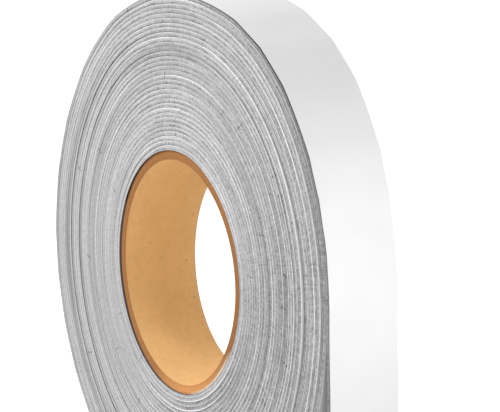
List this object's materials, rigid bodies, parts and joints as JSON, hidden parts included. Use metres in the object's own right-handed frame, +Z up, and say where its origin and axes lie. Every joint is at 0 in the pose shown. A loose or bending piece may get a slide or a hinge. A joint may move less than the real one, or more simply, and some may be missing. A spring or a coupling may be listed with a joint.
{
  "type": "roll of magnetic tape",
  "caption": "Spiral roll of white-faced flexible magnetic strip on a kraft paperboard core, with its free tail hanging from the side.",
  "frame": {"origin": "on the standing surface, straight below the middle of the roll's axis", "axes": "+Z up, Y along the roll's axis with the front side facing -Y, tail hanging on the +X side"},
  "size_m": [0.1894, 0.0285, 0.1886],
  "materials": {
    "kraft_liner": "matte kraft paper",
    "kraft_board": "cut board edge",
    "kraft_wrap": "matte kraft paper",
    "magnet": "matte ferrite-filled rubber",
    "facing": "satin white film"
  },
  "bodies": {
    "roll": {"core_liner": "kraft_liner", "core_board": "kraft_board", "core_wrap": "kraft_wrap", "inner_turns": "magnet", "magnet_winding": "magnet", "facing_winding": "facing"},
    "tail_section_1": {"magnet_tail_1": "magnet", "facing_tail_1": "facing"},
    "tail_section_2": {"magnet_tail_2": "magnet", "facing_tail_2": "facing"},
    "tail_section_3": {"magnet_tail_3": "magnet", "facing_tail_3": "facing"},
    "tail_section_4": {"magnet_tail_4": "magnet", "facing_tail_4": "facing"},
    "tail_section_5": {"magnet_tail_5": "magnet", "facing_tail_5": "facing"},
    "tail_section_6": {"magnet_tail_6": "magnet", "facing_tail_6": "facing"}
  },
  "joints": [
    {"name": "tail_bend_1", "type": "hinge", "parent": "roll", "child": "tail_section_1", "pos_m": [0.09441, 0, 0.08156], "axis": [0, -1, 0], "range_deg": [-7, 15]},
    {"name": "tail_bend_2", "type": "hinge", "parent": "tail_section_1", "child": "tail_section_2", "pos_m": [0.09441, 0, 0.06896], "axis": [0, -1, 0], "range_deg": [-7, 15]},
    {"name": "tail_bend_3", "type": "hinge", "parent": "tail_section_2", "child": "tail_section_3", "pos_m": [0.09441, 0, 0.05637], "axis": [0, -1, 0], "range_deg": [-7, 15]},
    {"name": "tail_bend_4", "type": "hinge", "parent": "tail_section_3", "child": "tail_section_4", "pos_m": [0.09441, 0, 0.04378], "axis": [0, -1, 0], "range_deg": [-7, 15]},
    {"name": "tail_bend_5", "type": "hinge", "parent": "tail_section_4", "child": "tail_section_5", "pos_m": [0.09441, 0, 0.03119], "axis": [0, -1, 0], "range_deg": [-7, 15]},
    {"name": "tail_bend_6", "type": "hinge", "parent": "tail_section_5", "child": "tail_section_6", "pos_m": [0.09441, 0, 0.01859], "axis": [0, -1, 0], "range_deg": [-7, 15]}
  ],
  "couplings": [
    {"joint": "tail_bend_2", "follows": "tail_bend_1", "ratio": 1},
    {"joint": "tail_bend_3", "follows": "tail_bend_1", "ratio": 1},
    {"joint": "tail_bend_4", "follows": "tail_bend_1", "ratio": 1},
    {"joint": "tail_bend_5", "follows": "tail_bend_1", "ratio": 1},
    {"joint": "tail_bend_6", "follows": "tail_bend_1", "ratio": 1}
  ]
}
